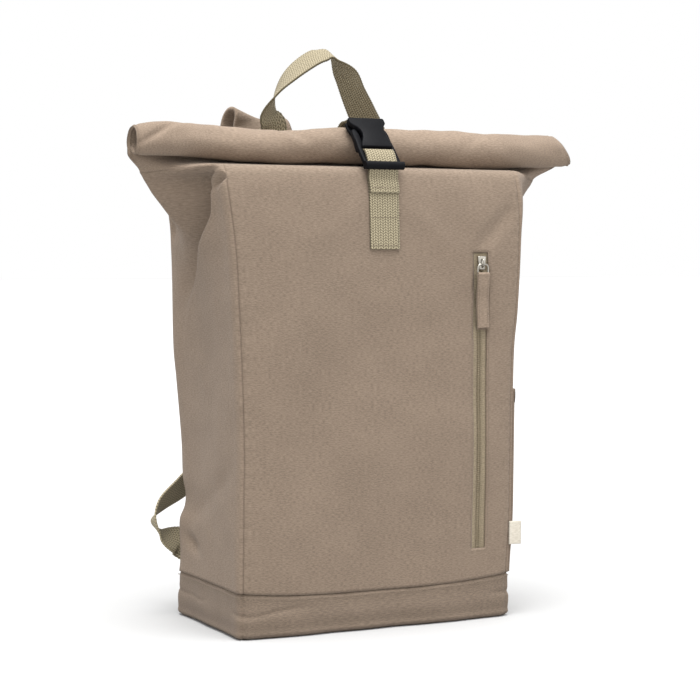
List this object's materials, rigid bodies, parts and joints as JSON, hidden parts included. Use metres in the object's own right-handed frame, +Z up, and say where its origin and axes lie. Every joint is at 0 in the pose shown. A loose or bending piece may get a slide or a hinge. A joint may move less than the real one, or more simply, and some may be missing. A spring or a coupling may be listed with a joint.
{
  "type": "rolltop backpack",
  "caption": "Upright canvas backpack with a rolled top held by a webbing strap and side-release buckle, front zip pocket, side pocket, carry handle and shoulder straps.",
  "frame": {"origin": "middle of the foot of the bag, on the surface it stands on", "axes": "+Z up; -Y to the front panel; +X to the bag's right seen from the front"},
  "size_m": [0.444, 0.1899, 0.5362],
  "materials": {
    "canvas": "plain woven cotton canvas, taupe",
    "webbing": "woven webbing, beige olive",
    "plastic": "black moulded, satin",
    "zip": "zip tape and coil, tone in tone",
    "nickel": "nickel plated",
    "label": "woven tape, blank, cream"
  },
  "bodies": {
    "root": {"base_band": "canvas", "bag_body": "canvas", "rolled_collar": "canvas", "zip_tape": "zip", "zip_coil": "zip", "zip_slider": "nickel", "pull_link": "nickel", "pull_tab": "canvas", "anchor_strap": "webbing", "closure_strap": "webbing", "buckle_socket": "plastic", "buckle_frame": "plastic", "side_pocket": "canvas", "side_label": "label", "carry_handle": "webbing", "shoulder_strap_left": "canvas", "adjuster_left": "plastic", "lower_webbing_left": "webbing", "shoulder_strap_right": "canvas", "adjuster_right": "plastic", "lower_webbing_right": "webbing"}
  },
  "joints": []
}
